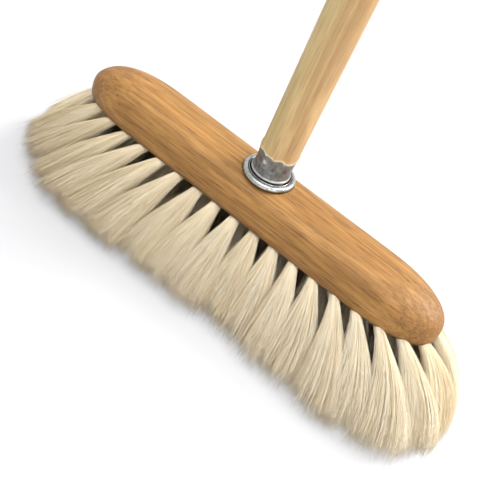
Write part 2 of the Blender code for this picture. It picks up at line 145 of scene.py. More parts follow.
# Hair: count, width at the root in root radii, and half depth at the tip of a bundle
OUTER_BUNDLE = {"hairs": 2400, "neck": 0.62, "depth": 0.0100}
INNER_BUNDLE = {
    "hairs": 1100, "neck": 0.90, "depth": 0.0150,
    "reach": 0.0, "slide": 0.0, "spread": 1.0, "paler": 0.0,
}
# Hair: its fineness, the first tuft's seed, and the columns of tones in its map
HAIR_POINTS = 8
HAIR_RADIUS = 0.00010
FIRST_SEED = 5100
TONE_COLUMNS = 48
# Hair: the tufts' middle lines, and how wide a tuft is
ROOT_SEAT = 0.0026
BEND_OUT = 0.70
BEND_DOWN = 0.40
TIP_REACH = 0.0020
TIP_LEAN = (0.0012, -0.0025, 0)
BEND_LEAN = (0.0020, 0, 0)
END_BEND = 0.19
END_DROP = 0.16
END_DRAW = 0.0030
SIDE_PUSH = 0.0035
ROW_SHARE = 0.69
INNER_OVERLAP = 1.40
SQUARENESS = 0.75
# Hair: how it gathers in locks and wisps, in shares of the bundle
LOCKS = 14
LOCK_REACH = 0.9
LOCK_PULL = 0.15
WISPS = 90
WISP_PULL = 0.30
STRAY_SHARE = 0.10
FLYAWAY_SHARE = 0.030
# Hair: how much shorter than its tuft a hair may be, in shares of the tuft's length
HAIR_LACK = 0.10
GROUP_LACK = 0.060
STRAY_LENGTH = 1.05
STRAY_LACK = 0.32
# Hair: how far chance moves it, in radians, shares of the bundle and, last, metres
ANY_TURN = 6.28
BUNDLE_SCATTER = 0.035
LOCK_BLUR = 0.10
WISP_BLUR = 0.03
WIDTH_SCATTER = 0.05
LOCK_DRIFT = 0.05
HAIR_DRIFT = 0.12
WAVE_PACE = (3.0, 8.0)
WAVE_SIZE = 0.011
REACH_SCATTER = 0.0016
SLIDE_SCATTER = 0.0014
FLOOR_SCATTER = 0.0012
# How outer tufts differ: tuft number and value, even in between
CHANGES = {
    # How much farther out the tips reach, in metres
    "reach": (
        (1, -0.0080), (2, -0.0065), (3, -0.0030), (5, 0.0), (14, 0.0), (16, -0.0005),
        (17, -0.0012), (18, -0.0035), (19, -0.0055), (20, -0.0060), (21, -0.0030), (22, 0.0005),
        (23, 0.0045), (24, 0.0100), (26, 0.0105), (27, 0.0080), (28, 0.0036), (29, 0.0006),
        (31, 0.0006), (33, 0.0030), (34, 0.0066), (36, 0.0096), (37, 0.0034), (38, -0.0062),
    ),
    # How far the tips slide to -X along the row, in metres
    "slide": ((28, 0.0), (31, 0.0035), (34, 0.0080), (36, 0.0090), (37, 0.0050), (38, 0.0)),
    # How wide the tuft spreads along the row, as a share
    "spread": (
        (1, 1.10), (4, 1.0), (15, 1.0), (18, 1.10), (20, 1.0), (22, 0.93), (27, 0.96), (31, 1.02),
        (35, 1.12), (38, 1.12),
    ),
    # The tone that is added: painted light where it is above 0 and painted shade where it is
    # below; more is lighter
    "paler": (
        (1, -0.10), (4, -0.10), (8, -0.04), (14, 0.0), (18, -0.05), (26, -0.04), (29, 0.0),
        (33, 0.10), (36, 0.16), (37, 0.06), (38, -0.06),
    ),
}
# No hair goes farther across the head than HAIR_LIMIT, and it slows from HAIR_KNEE on
HAIR_KNEE = 0.0612
HAIR_LIMIT = 0.0637
GOLDEN_ANGLE = pi * (3 - sqrt(5))
FLOOR_REST = 0.0004

# Wood: how fine its figure is along and across the grain
SWAY_GRAIN = (7, 22, 22)
FIBRE_GRAIN = (14, 950, 950)
DASH_GRAIN = (60, 1700, 1700)
BROAD_GRAIN = (5, 30, 30)
PATCH_GRAIN = (26, 160, 160)
PORE_GRAIN = (500, 900, 900)
RING_SWAY = 0.006

# Colours of the woods: light, dark, fleck and warm, then the parts that differ, which carry
# painted shade, painted light and a painted highlight
BLOCK_TONES = (
    (0.375, 0.200, 0.060), (0.15, 0.067, 0.019), (0.05, 0.020, 0.007), (0.32, 0.143, 0.034),
)
# Painted shade along the block's lower edge, where it meets the hair
BLOCK_FOOT_SHADE = (0.085, 0.036, 0.014)
STICK_TONES = (
    (0.59, 0.46, 0.245), (0.36, 0.235, 0.105), (0.19, 0.11, 0.046), (0.53, 0.355, 0.165),
)
# The stick's tints: lighter on its -X side, partly painted light, and warmer and darker on its +X
# side, partly painted shade
PALE_SIDE_TINT_WITH_PAINTED_LIGHT = (0.97, 1.0, 0.93)
WARM_SIDE_TINT_WITH_PAINTED_SHADE = (0.88, 0.755, 0.68)
# The pale torn rim's colour, which is partly a painted highlight on its bulge
TORN_WOOD_AND_HIGHLIGHT = (0.86, 0.70, 0.45)
# Colours of the metals
STEEL = (0.54, 0.55, 0.54)
DULL_STEEL = (0.25, 0.26, 0.25)
# Painted shade in the socket's valley and mouth and under its roll
STEEL_PAINTED_SHADE = (0.035, 0.032, 0.030)
DARK_ZINC = (0.072, 0.070, 0.064)
ZINC = (0.215, 0.210, 0.198)
PALE_ZINC = (0.36, 0.36, 0.34)
STAIN = (0.14, 0.105, 0.06)
# Worn bright zinc, also used for a painted highlight along the bead
WORN_ZINC_AND_HIGHLIGHT = (0.72, 0.72, 0.70)
# Painted shade on the ferrule's cone, inside the socket's mouth
ZINC_PAINTED_SHADE = (0.03, 0.028, 0.026)
# Colours of the hair: by tone, in its streaks, and the painted shade at root and tip
HAIR_COLOURS = (
    (0.10, (0.70, 0.555, 0.345)), (0.42, (0.88, 0.76, 0.535)), (0.90, (0.94, 0.872, 0.72)),
)
STREAK = (0.77, 0.63, 0.42)
# Painted shade at the hairs' roots and tips
HAIR_ROOT_AND_TIP_SHADE = (0.62, 0.48, 0.29)

# Camera: found from the block's outline, the collar and the stick's edges, in pixels
# of a 500 x 500 image
IMAGE_SIZE = 500
FOCAL_PIXELS = 693.43
CAMERA_DISTANCE = 0.44078
CAMERA_AZIMUTH = radians(18.82)
CAMERA_ELEVATION = radians(37.6)
CAMERA_ROLL = radians(25.78)
AIM_PIXEL = (255.35, 202.2)
SENSOR_WIDTH = 36.0

# Suns: name, direction that the light comes from, spread in degrees, strength and tint
SUNS = (
    ("key", (0.68, 0.80, 0.84), 24, 4.0, (1.0, 0.985, 0.95)),
    ("top", (0.10, -0.12, 1.00), 60, 2.8, (1.0, 1.0, 1.0)),
)
# One soft lamp on the right that gives more light to the near end: place, size, watts
LAMP_PLACE = (0.85, -0.62, 0.34)
LAMP_SIZE = 0.6
LAMP_POWER = 2.8

# Floor: its colour where it lights the object and where it is seen, and its white glow,
# painted light that grows along GLOW_SPAN from left to right
FLOOR_HALF = 12.0
FLOOR_LIT = (0.45, 0.44, 0.44)
FLOOR_SEEN = (0.298, 0.300, 0.311)
FLOOR_GLOW = (0.35, 0.53)
GLOW_SPAN = (-0.12, 0.10)
# The painted glow is left out under the hair: half sizes of that oval, and where it fades
SHADED_OVAL = (0.172, 0.046)
SHADED_FADE = (0.80, 1.0)
# The sky: how strongly it lights the object; it is seen at 1
SKY_LIGHT = 0.75
WHITE = (1.0, 1.0, 1.0)


# Mesh helpers

def add_object(name, data):
    """A new object of the scene with this mesh, lamp or camera."""
    thing = bpy.data.objects.new(name, data)
    bpy.context.scene.collection.objects.link(thing)
    return thing


def finish_mesh(name, mesh, material, body, replaced, sharp=None):
    """Tie a mesh to its CAD body, node and slot; edges from sharp degrees stay sharp."""
    mesh.materials.append(material)
    mesh.shade_smooth()
    if sharp:
        mesh.set_sharp_from_angle(angle=radians(sharp))
    thing = add_object(name, mesh)
    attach(thing, body)
    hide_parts(*replaced)


def mesh_from_bmesh(name, bm):
    """Turn a bmesh into a mesh whose faces look outward."""
    bmesh.ops.recalc_face_normals(bm, faces=bm.faces[:])
    mesh = bpy.data.meshes.new(name)
    bm.to_mesh(mesh)
    bm.free()
    return mesh


def spun_sleeve(profile, steps):
    """Spin a closed profile that stays clear of the axis into a sleeve."""
    bm = bmesh.new()
    verts = [bm.verts.new((radius, 0, height)) for radius, height in profile]
    edges = [bm.edges.new((verts[i - 1], verts[i])) for i in range(len(verts))]
    bmesh.ops.spin(
        bm, geom=verts + edges, cent=(0, 0, 0), axis=(0, 0, 1),
        angle=tau, steps=steps, use_merge=True,
    )
    return bm


def arc(centre_radius, centre_height, radius, start, end, steps):
    """Points of an arc in a turned profile, from one angle in degrees to another."""
    angles = [radians(turn) for turn in levels(start, end, steps)]
    return [
        (centre_radius + radius * cos(angle), centre_height + radius * sin(angle))
        for angle in angles
    ]


def levels(low, high, count):
    """Evenly spaced values from low to high."""
    return [low + (high - low) * i / count for i in range(count + 1)]


def bridge(bm, rows):
    """Close the gap between each ring of vertices and the next with quads."""
    for lower, upper in zip(rows, rows[1:]):
        for i, vert in enumerate(lower):
            j = (i + 1) % len(lower)
            bm.faces.new((vert, lower[j], upper[j], upper[i]))


def roll_thread(bm, mean_radius, low, high, fade_side):
    """Swell the plain wall at mean_radius into the same rolled thread as the CAD's."""
    for vert in bm.verts:
        radius = hypot(vert.co.x, vert.co.y)
        if abs(radius - mean_radius) > 1e-5 or not low - 1e-5 < vert.co.z < high + 1e-5:
            continue
        weight = max(0.0, min(1.0, min(vert.co.z - low, high - vert.co.z) / THREAD_RUN_OUT))
        around = atan2(vert.co.y, vert.co.x)
        wave = cos(tau * (vert.co.z - CROWN_Z) / THREAD_PITCH - around)
        swelled = mean_radius + THREAD_SWELL * (wave * weight + fade_side * (1 - weight))
        vert.co.x *= swelled / radius
        vert.co.y *= swelled / radius


# Material helpers

def new_material(name):
    """A material with its Principled shader and node tree, ready for nodes."""
    material = bpy.data.materials.new(name)
    material.use_nodes = True
    tree = material.node_tree
    return material, tree, tree.nodes["Principled BSDF"]


def fill(tree, made, inputs):
    """Set inputs of a node. Each is a value, a colour or another node's socket."""
    for key, value in inputs.items():
        socket = made.inputs[key]
        if isinstance(value, bpy.types.NodeSocket):
            tree.links.new(value, socket)
        else:
            socket.default_value = (*value, 1.0) if socket.type == "RGBA" else value


def node(tree, kind, inputs=None, **settings):
    """A new shader node of this kind, with these inputs and settings."""
    made = tree.nodes.new("ShaderNode" + kind)
    for key, value in settings.items():
        setattr(made, key, value)
    fill(tree, made, inputs or {})
    return made


def object_place(tree):
    """Where a point lies on its object."""
    return node(tree, "TexCoord").outputs["Object"]


def part_of(tree, vector, axis):
    """The X, Y or Z of a vector."""
    return node(tree, "SeparateXYZ", {"Vector": vector}).outputs[axis]


def point_value(tree, name):
    """The value of this name that the mesh has at each point."""
    return node(tree, "Attribute", attribute_name=name).outputs["Fac"]


def fade(tree, value, start, end, low=0.0, high=1.0, kind="SMOOTHSTEP"):
    """Go from low to high while value goes from start to end."""
    return node(
        tree, "MapRange",
        {"Value": value, "From Min": start, "From Max": end, "To Min": low, "To Max": high},
        interpolation_type=kind,
    ).outputs["Result"]


def ramp(tree, factor, stops):
    """A colour ramp through (place, grey level or colour) stops."""
    made = node(tree, "ValToRGB", {"Fac": factor})
    elements = made.color_ramp.elements
    while len(elements) < len(stops):
        elements.new(0.5)
    for element, (place, colour) in zip(elements, stops):
        element.position = place
        level = (colour,) * 3 if isinstance(colour, float) else colour
        element.color = (*level, 1.0)
    return made.outputs["Color"]


def mix(tree, factor, first, second, blend="MIX"):
    """Mix two colours. Each argument is a value or a socket."""
    return node(
        tree, "Mix", {0: factor, 6: first, 7: second},
        data_type="RGBA", blend_type=blend,
    ).outputs[2]


def layered(tree, colour, *layers):
    """Lay (share, colour) layers over a colour, one after another."""
    for share, layer in layers:
        colour = mix(tree, share, colour, layer)
    return colour


def scaled(tree, vector, scale, place=(0, 0, 0)):
    """A vector stretched by scale and shifted by place."""
    inputs = {"Vector": vector, "Scale": scale, "Location": place}
    return node(tree, "Mapping", inputs).outputs["Vector"]


def cloud(tree, vector, scale, detail=3.0, roughness=0.5, output="Fac"):
    """Noise at this scale, between 0 and 1."""
    inputs = {"Vector": vector, "Scale": scale, "Detail": detail, "Roughness": roughness}
    return node(tree, "TexNoise", inputs).outputs[output]


def arithmetic(tree, operation, first, second=0.0):
    """The result of a sum or product of values and sockets."""
    return node(tree, "Math", {0: first, 1: second}, operation=operation).outputs["Value"]


def times(tree, first, second):
    """The product of two values or sockets."""
    return arithmetic(tree, "MULTIPLY", first, second)


def bump(tree, height, strength, distance):
    """The normal of a surface that rises and falls with height."""
    inputs = {"Height": height, "Strength": strength, "Distance": distance}
    return node(tree, "Bump", inputs).outputs["Normal"]


def wood_material(name, axis, tones, pith, ring_gap, shine, figure, ends=None):
    """Wood with rings about a pith line, long fibres, pores and broad tone changes.

    The grain runs along axis. tones are the light, dark, fleck and warm colours. pith is
    the rings' middle across the grain. figure is how strongly the rings, fibres and pores
    show. ends is where the end grain begins and is full.
    """
    material, tree, shader = new_material(name)
    place = object_place(tree)
    if axis == "Z":
        parts = node(tree, "SeparateXYZ", {"Vector": place}).outputs
        place = node(
            tree, "CombineXYZ", {"X": parts["Z"], "Y": parts["X"], "Z": parts["Y"]}
        ).outputs["Vector"]
    light, dark, fleck, warm = tones
    ring_share, fibre_share, pore_share = figure

    def grain(size, detail, roughness=0.5, shift=(0, 0, 0)):
        """Noise that is drawn out along the grain."""
        return cloud(tree, scaled(tree, place, size, shift), 1.0, detail, roughness)

    sway = cloud(tree, scaled(tree, place, SWAY_GRAIN), 1.0, output="Color")
    swayed = node(
        tree, "VectorMath",
        {0: place, 1: mix(tree, sway, (-RING_SWAY,) * 3, (RING_SWAY,) * 3)}, operation="ADD",
    ).outputs["Vector"]
    rings = node(
        tree, "TexWave",
        {
            "Vector": scaled(tree, swayed, (0.05, 1, 1), (0, -pith[0], -pith[1])),
            "Scale": tau / 20 / ring_gap,
            "Distortion": 1.6, "Detail": 3.0, "Detail Scale": 0.5, "Detail Roughness": 0.6,
        },
        wave_type="RINGS", rings_direction="X", wave_profile="SAW",
    ).outputs["Fac"]
    ring_shade = ramp(tree, rings, ((0.0, 0.05), (0.50, 0.20), (0.90, 1.0), (1.0, 0.1)))
    fibres = grain(FIBRE_GRAIN, 5.0, 0.62)
    fibre_shade = ramp(tree, fibres, ((0.38, 0.0), (0.62, 1.0)))
    dash_shade = ramp(tree, grain(DASH_GRAIN, 2.0), ((0.56, 0.0), (0.66, 1.0)))
    broad = grain(BROAD_GRAIN, 3.0, shift=(0.31, 0, 0))
    broad_shade = ramp(tree, broad, ((0.35, 0.0), (0.65, 1.0)))
    lighten = ramp(tree, grain(PATCH_GRAIN, 3.0), ((0.50, 0.0), (0.72, 0.45)))
    colour = layered(
        tree, light,
        (times(tree, broad_shade, 0.55), warm),
        (times(tree, ring_shade, ring_share), dark),
        (times(tree, fibre_shade, fibre_share), dark),
        (times(tree, dash_shade, pore_share), fleck),
        (lighten, [min(1.0, tone * 1.35) for tone in light]),
    )
    if ends:
        reach = arithmetic(tree, "ABSOLUTE", part_of(tree, place, "X"))
        pore_shade = ramp(tree, grain(PORE_GRAIN, 3.0, 0.6), ((0.44, 0.0), (0.62, 1.0)))
        veined = layered(tree, colour, (times(tree, pore_shade, 0.60), dark), (0.22, dark))
        colour = mix(tree, fade(tree, reach, *ends), colour, veined)
    relief = arithmetic(tree, "SUBTRACT", times(tree, fibre_shade, 0.4), dash_shade)
    fill(tree, shader, {
        "Base Color": colour,
        "Normal": bump(tree, relief, 0.35, 0.00012),
        "Roughness": ramp(tree, fibres, ((0.3, shine - 0.06), (0.7, shine + 0.10))),
    })
    return material, tree, shader, colour


def block_material():
    """Oiled brown wood with end grain at both ends and painted shade along its lower edge."""
    material, tree, shader, colour = wood_material(
        "oiled_block_wood", "X", BLOCK_TONES, (0.060, 0.030), 0.0030, 0.52,
        (0.40, 0.66, 0.60), ends=(0.100, 0.136),
    )
    height = part_of(tree, object_place(tree), "Z")
    # Painted shade: the wood darkens towards its lower edge
    low = fade(tree, height, HAIR_HEIGHT + 0.0035, HAIR_HEIGHT + 0.0005, high=0.65)
    fill(tree, shader, {
        "Base Color": mix(tree, low, colour, BLOCK_FOOT_SHADE),
        "Specular IOR Level": 0.24, "Coat Weight": 0.03, "Coat Roughness": 0.35,
    })
    return material


def stick_material():
    """Pale waxed wood, warmer and darker on its +X side and lighter on its -X side, partly its own
    two tones and partly painted shade and painted light; its torn rim is pale, partly with a
    painted highlight.
    """
    material, tree, shader, colour = wood_material(
        "waxed_stick_wood", "Z", STICK_TONES, (0.030, -0.012), 0.0042, 0.50,
        (0.45, 0.38, 0.30),
    )
    place = object_place(tree)
    sway = cloud(tree, scaled(tree, place, (60, 60, 7)), 1.0, 2.0)
    across = arithmetic(tree, "ADD", part_of(tree, place, "X"), times(tree, sway, 0.010))
    # Tint across the stick: partly the wood's own colour, partly painted light on the -X side and
    # painted shade on the +X side
    tint = mix(tree, fade(tree, across, -0.003, 0.013), PALE_SIDE_TINT_WITH_PAINTED_LIGHT, WARM_SIDE_TINT_WITH_PAINTED_SHADE)
    colour = mix(tree, 1.0, colour, tint, "MULTIPLY")
    # Pale torn rim, partly a painted highlight
    colour = mix(tree, point_value(tree, "rim"), colour, TORN_WOOD_AND_HIGHLIGHT)
    fill(tree, shader, {"Base Color": colour, "Specular IOR Level": 0.35})
    return material


def bright_steel_material():
    """Rolled bright steel with fine turning marks and blotches, and painted shade in its flange's
    valley, inside its mouth and under its roll.
    """
    material, tree, shader = new_material("bright_rolled_steel")
    place = object_place(tree)
    marks = cloud(tree, scaled(tree, place, (260, 260, 2600)), 1.0, 3.0)
    blotch = cloud(tree, place, 330.0, 4.0, 0.6)
    dull = ramp(tree, blotch, ((0.38, 0.0), (0.66, 1.0)))
    colour = mix(tree, dull, STEEL, DULL_STEEL)
    fill(tree, shader, {
        # Painted shade in the flange's valley, inside the mouth and under the roll
        "Base Color": mix(tree, point_value(tree, "painted_shade"), colour, STEEL_PAINTED_SHADE),
        "Metallic": 1.0,
        "Roughness": ramp(tree, blotch, ((0.35, 0.20), (0.7, 0.42))),
        "Normal": bump(tree, marks, 0.25, 0.00008),
    })
    return material


def galvanised_material():
    """Dull zinc sheet: mottled grey patches, stains, dents, a worn bright edge, a painted
    highlight on its bead and painted shade on the cone below the bead.
    """
    material, tree, shader = new_material("galvanised_sheet")
    place = object_place(tree)
    patches = node(tree, "TexVoronoi", {"Vector": place, "Scale": 420.0}).outputs["Color"]
    patch = node(tree, "SeparateColor", {"Color": patches}).outputs["Red"]
    blotch = cloud(tree, place, 300.0, 5.0, 0.65)
    stain = cloud(tree, scaled(tree, place, (1, 1, 0.6), (0.3, 0, 0)), 120.0, 3.0)
    dents = arithmetic(tree, "ADD", blotch, times(tree, patch, 0.4))
    fill(tree, shader, {
        "Base Color": layered(
            tree, DARK_ZINC,
            (ramp(tree, blotch, ((0.35, 0.0), (0.68, 1.0))), ZINC),
            (times(tree, patch, 0.42), PALE_ZINC),
            (ramp(tree, stain, ((0.52, 0.0), (0.72, 0.5))), STAIN),
            # Worn bright edge and dimple, and a painted highlight along the bead
            (point_value(tree, "wear_and_highlight"), WORN_ZINC_AND_HIGHLIGHT),
            # Painted shade on the cone below the bead
            (point_value(tree, "painted_shade"), ZINC_PAINTED_SHADE),
        ),
        "Metallic": 0.75,
        "Roughness": ramp(tree, blotch, ((0.3, 0.62), (0.7, 0.42))),
        "Normal": bump(tree, dents, 0.5, 0.0002),
    })
    return material


def hair_material():
    """Soft pale hair: a tone and a fine streak for each hair, with painted shade at root and tip.
    """
    material, tree, shader = new_material("goat_hair_strands")
    tone = point_value(tree, "tone")
    run = point_value(tree, "run")
    strand = node(
        tree, "CombineXYZ", {"X": times(tree, tone, 60.0), "Y": times(tree, run, 5.0)}
    ).outputs["Vector"]
    streak = cloud(tree, strand, 1.0, 2.0)
    streaked = ramp(tree, streak, ((0.42, 0.0), (0.72, 0.35)))
    # Painted shade: darker at the very root and towards the tip
    painted_root_tip_shade = ramp(tree, run, ((0.0, 0.60), (0.07, 0.0), (0.70, 0.0), (1.0, 0.30)))
    colour = mix(tree, streaked, ramp(tree, tone, HAIR_COLOURS), STREAK)
    fill(tree, shader, {
        "Base Color": mix(tree, painted_root_tip_shade, colour, HAIR_ROOT_AND_TIP_SHADE),
        "Roughness": ramp(tree, streak, ((0.3, 0.44), (0.7, 0.60))),
        "Specular IOR Level": 0.30,
        "Sheen Weight": 0.18, "Sheen Roughness": 0.45, "Sheen Tint": (1.0, 0.95, 0.84),
    })
    return material


# The block

def oval_point(angle, half_length, half_width, end_length, fullness):
    """Point of an oval that has straight sides and superellipse ends."""
    power = 2 / fullness
    along = abs(cos(angle)) ** power * end_length + half_length - end_length
    across = abs(sin(angle)) ** power * half_width
    return Vector((copysign(along, cos(angle)), copysign(across, sin(angle)), 0))


def oval_stations(count, *oval):
    """Evenly spaced points round an oval, each with its unit tangent, and their pitch."""
    samples = 1440
    points = [oval_point(i * tau / samples, *oval) for i in range(samples + 1)]
    reach = [0.0]
    for before, after in zip(points, points[1:]):
        reach.append(reach[-1] + (after - before).length)
    stations = []
    k = 0
    for i in range(count):
        wanted = (i + 0.5) / count * reach[-1]
        while reach[k + 1] < wanted:
            k += 1
        share = (wanted - reach[k]) / (reach[k + 1] - reach[k])
        tangent = (points[k + 1] - points[k]).normalized()
        stations.append((points[k].lerp(points[k + 1], share), tangent))
    return stations, reach[-1] / count


def block_ring(inset_share, height, trim=0.0):
    """One level of the block; the dome draws its sides and ends in alike."""
    end_length = BLOCK_END_LENGTH * inset_share - trim
    straight = BLOCK_LENGTH / 2 - BLOCK_END_LENGTH
    half_length = straight + end_length
    half_width = BLOCK_WIDTH / 2 * inset_share - trim
    half = []
    for i in range(END_POINTS):
        angle = (i + 0.5) / END_POINTS * pi - pi / 2
        half.append(oval_point(angle, half_length, half_width, end_length, PLAN_FULLNESS))
    for i in range(SIDE_POINTS):
        half.append(Vector((straight * (1 - 2 * (i + 0.5) / SIDE_POINTS), half_width, 0)))
    lift = Vector((0, 0, height))
    return [point + lift for point in half] + [lift - point for point in half]


def block_blank():
    """The block before its holes are cut, with a rounded lower edge and a domed crown."""
    rings = []
    for i in range(EDGE_STEPS + 1):
        turn = pi / 2 * i / EDGE_STEPS
        height = HAIR_HEIGHT + BLOCK_CHAMFER * (1 - cos(turn))
        rings.append(block_ring(1.0, height, BLOCK_CHAMFER * (1 - sin(turn))))
    dome_z = HAIR_HEIGHT + BLOCK_EDGE_HEIGHT
    rings.append(block_ring(1.0, dome_z))
    power = 2 / CROWN_FULLNESS
    for i in range(1, CROWN_STEPS):
        turn = pi / 2 * i / CROWN_STEPS
        lift = (BLOCK_HEIGHT - BLOCK_EDGE_HEIGHT) * sin(turn) ** power
        rings.append(block_ring(cos(turn) ** power, dome_z + lift))
    bm = bmesh.new()
    verts = [[bm.verts.new(point) for point in ring] for ring in rings]
    bridge(bm, verts)
    bm.faces.new(reversed(verts[0]))
    bm.faces.new(verts[-1])
    return add_object("block_blank", mesh_from_bmesh("block_blank", bm))


def add_cutter(name, drills):
    """An object made of round drills: segments, length, radius and place of each."""
    bm = bmesh.new()
    for segments, length, radius, place in drills:
        bmesh.ops.create_cone(
            bm, cap_ends=True, segments=segments, depth=length, radius1=radius,
            radius2=radius, matrix=place,
        )
    return add_object(name, mesh_from_bmesh(name, bm))


def build_block(material, tufts):
    """Domed block with the socket's pocket and the tufts' holes cut into it."""
    blank = block_blank()
    drills = []
    for tuft in tufts:
        centre = tuft.root - tuft.axis * (HOLE_DEPTH - CUT_OVERRUN) / 2
        turn = Vector((0, 0, 1)).rotation_difference(tuft.axis).to_matrix().to_4x4()
        place = Matrix.Translation(centre) @ turn
        drills.append((20, HOLE_DEPTH + CUT_OVERRUN, ROOT_RADIUS + FIT_GAP, place))
    holes = add_cutter("hole_cutter", drills)
    spot_radius = FLANGE_ROLL_CENTRE + FLANGE_ROLL_RADIUS + FIT_GAP
    floor_z = FLANGE_BOTTOM_Z - FIT_GAP
    pocket = add_cutter("pocket_cutter", [
        (96, high - low, radius, Matrix.Translation((0, 0, (low + high) / 2)))
        for radius, low, high in (
            (spot_radius, floor_z, CROWN_Z + CUT_OVERRUN),
            (SOCKET_WALL_RADIUS + FIT_GAP, CROWN_Z - SOCKET_DEPTH, floor_z + FIT_GAP / 2),
        )
    ])
    for cutter in (holes, pocket):
        cutter.hide_render = True
        boolean = blank.modifiers.new(cutter.name, "BOOLEAN")
        boolean.object = cutter
        boolean.operation = "DIFFERENCE"
        boolean.solver = "EXACT"
        boolean.use_self = cutter is pocket
    graph = bpy.context.evaluated_depsgraph_get()
    cut_mesh = bpy.data.meshes.new_from_object(blank.evaluated_get(graph))
    cut_mesh.materials.clear()
    for thing in (blank, holes, pocket):
        bpy.data.objects.remove(thing, do_unlink=True)
    finish_mesh("block_body", cut_mesh, material, "head", ["block"], 32)


# The collar

def set_point_values(mesh, name, values):
    """Give the mesh a value of this name at each point."""
    layer = mesh.attributes.new(name, "FLOAT", "POINT")
    layer.data.foreach_set("value", np.asarray(values, np.float32))


def build_socket(material):
    """Pressed socket: rolled flange, valley, raised mouth and threaded wall."""
    thread_high = FLANGE_TOP_Z - MOUTH_DEPTH
    roll_z = FLANGE_BOTTOM_Z + FLANGE_ROLL_RADIUS
    rim_outer = MOUTH_RADIUS + 2 * MOUTH_RIM_WIDTH
    valley_z = FLANGE_TOP_Z - FLANGE_VALLEY_DEPTH
    lip = MOUTH_RIM_WIDTH / 2
    profile = [
        (SOCKET_FLOOR_HOLE_RADIUS, SOCKET_FLOOR_Z),
        (SOCKET_FLOOR_HOLE_RADIUS, SOCKET_BOTTOM_Z),
        (SOCKET_WALL_RADIUS, SOCKET_BOTTOM_Z),
        (SOCKET_WALL_RADIUS, FLANGE_BOTTOM_Z),
        (FLANGE_ROLL_CENTRE, FLANGE_BOTTOM_Z),
    ]
    profile += arc(FLANGE_ROLL_CENTRE, roll_z, FLANGE_ROLL_RADIUS, -60, 120, 18)
    profile += [
        (rim_outer + lip / 2, valley_z),
        (rim_outer, valley_z - lip / 3),
        (rim_outer - lip / 3, valley_z),
    ]
    profile += arc(rim_outer - lip * 1.2, FLANGE_TOP_Z - lip / 2, lip / 2, 20, 160, 5)
    profile += [
        (MOUTH_RADIUS + lip, FLANGE_TOP_Z - MOUTH_DEPTH / 4),
        (MOUTH_RADIUS + lip / 3, FLANGE_TOP_Z - MOUTH_DEPTH / 2),
    ]
    heights = levels(SOCKET_FLOOR_Z, thread_high, 44)
    profile += [(SOCKET_THREAD_RADIUS, height) for height in reversed(heights)]
    bm = spun_sleeve(profile, 128)
    roll_thread(bm, SOCKET_THREAD_RADIUS, SOCKET_FLOOR_Z, thread_high, 1)
    mesh = mesh_from_bmesh("socket_shell", bm)
    # Painted shade: the flange's valley, the whole inside of the mouth and the underside of the
    # roll are darkened
    painted_shade_values = []
    for vert in mesh.vertices:
        radius = hypot(vert.co.x, vert.co.y)
        painted_shade = max(0.0, 1 - abs(radius - rim_outer) / (lip * 1.2))
        inside = 1.0 if radius < MOUTH_RADIUS + lip * 1.1 else 0.0
        below = max(0.0, min(1.0, (roll_z - vert.co.z) / FLANGE_ROLL_RADIUS))
        painted_shade_values.append(min(1.0, 0.9 * painted_shade + inside + 0.9 * below))
    set_point_values(mesh, "painted_shade", painted_shade_values)
    finish_mesh(
        "socket_shell", mesh, material, "head", ["threaded_socket"], 50
    )


def edge_height(around):
    """Height over the crown of the ferrule's crimped edge, in direction around."""
    turn = degrees(around)
    ragged = noise.noise(Vector((turn * 0.35, 0, 7.0))) * 0.00025
    return float(np.interp(turn, *zip(*CRIMPED_EDGE))) + ragged


def spike_weight(around):
    """How near direction around is to one of the edge's two raised tongues, up to 1."""
    turn = degrees(around)
    return max(max(0.0, 1 - abs(turn - spike) / SPIKE_HALF_WIDTH) for spike in SPIKES)


def dent_skirt(vert, around, rise):
    """Move a point of the skirt to the crimped, dented sheet; returns how worn it is."""
    radius = hypot(vert.co.x, vert.co.y)
    vert.co.z = BEAD_TOP_Z + rise * (edge_height(around) - (BEAD_TOP_Z - CROWN_Z))
    where = Vector((cos(around), sin(around), vert.co.z / STICK_RADIUS))
    dent = noise.noise(where * 2.3) * 0.00022 + noise.noise(where * 5.1) * 0.00010
    flare = SPIKE_FLARE * spike_weight(around) * max(0.0, rise - 0.55) / 0.45
    apart = hypot(
        (around - DIMPLE_TURN) * STICK_RADIUS, vert.co.z - DIMPLE_Z
    ) / DIMPLE_RADIUS
    dimple = DIMPLE_DEPTH * exp(-2.2 * apart * apart)
    moved = radius + min(rise * 4, 1.0) * (dent - 0.0001) + flare - dimple
    vert.co.x *= moved / radius
    vert.co.y *= moved / radius
    edge_wear = max(0.0, (rise - 0.93) / 0.07) * 0.25
    return max(edge_wear, 0.7 * exp(-3.0 * (apart - 0.7) ** 2))


